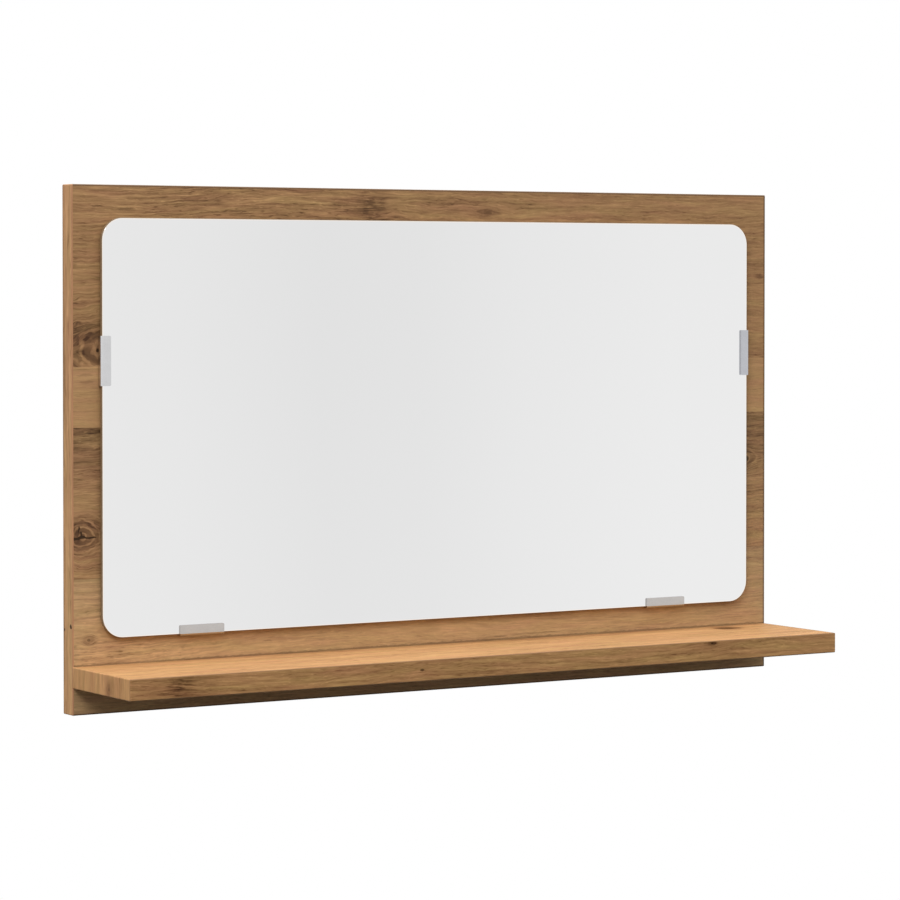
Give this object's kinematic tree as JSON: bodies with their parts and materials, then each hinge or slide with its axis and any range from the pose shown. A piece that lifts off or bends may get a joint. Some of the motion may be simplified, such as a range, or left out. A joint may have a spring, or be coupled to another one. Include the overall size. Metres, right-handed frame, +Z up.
{
  "type": "bathroom wall mirror with shelf",
  "caption": "Wall-hung bathroom mirror in bent metal clips on a wood-effect panel, with a shallow shelf below it held by cam fittings.",
  "frame": {"origin": "the middle of the panel's back face, which lies flat against the wall", "axes": "+X to the right as seen from the room, +Y into the wall, +Z up; the room, the mirror and the shelf are on the -Y side"},
  "size_m": [0.6, 0.105, 0.37],
  "materials": {
    "oak_board": "oak-effect melamine on chipboard, matt with a light grain",
    "oak_band": "oak-effect edge band, matt",
    "mirror_glass": "float glass mirror with ground edges",
    "mirror_coat": "grey back paint over the silver",
    "clip_steel": "satin nickel-plated sheet steel",
    "cam_zinc": "die-cast zinc, tumbled",
    "beech": "bare beech",
    "hanger_steel": "bright zinc-plated sheet steel",
    "screw_steel": "zinc-plated steel"
  },
  "bodies": {
    "panel": {"back_panel": "oak_board", "shelf_board": "oak_board", "panel_top_band": "oak_band", "panel_bottom_band": "oak_band", "panel_left_band": "oak_band", "panel_right_band": "oak_band", "shelf_front_band": "oak_band", "shelf_left_band": "oak_band", "shelf_right_band": "oak_band", "left_clip": "clip_steel", "right_clip": "clip_steel", "lower_left_clip": "clip_steel", "lower_right_clip": "clip_steel", "clip_screws": "screw_steel", "cam_bolts": "screw_steel", "shelf_dowels": "beech", "left_hanger_plate": "hanger_steel", "right_hanger_plate": "hanger_steel", "hanger_screws": "screw_steel"},
    "mirror": {"mirror_glass": "mirror_glass", "mirror_coat": "mirror_coat"},
    "left_cam": {"left_cam_lock": "cam_zinc"},
    "centre_cam": {"centre_cam_lock": "cam_zinc"},
    "right_cam": {"right_cam_lock": "cam_zinc"}
  },
  "joints": [
    {"name": "mirror_slide", "type": "slide", "parent": "panel", "child": "mirror", "axis": [0, 0, 1], "range_m": [0, 0.195]},
    {"name": "left_cam_turn", "type": "hinge", "parent": "panel", "child": "left_cam", "pos_m": [-0.24, -0.039, -0.1585], "axis": [0, 0, -1], "range_deg": [0, 180]},
    {"name": "centre_cam_turn", "type": "hinge", "parent": "panel", "child": "centre_cam", "pos_m": [0, -0.039, -0.1585], "axis": [0, 0, -1], "range_deg": [0, 180]},
    {"name": "right_cam_turn", "type": "hinge", "parent": "panel", "child": "right_cam", "pos_m": [0.24, -0.039, -0.1585], "axis": [0, 0, -1], "range_deg": [0, 180]}
  ]
}
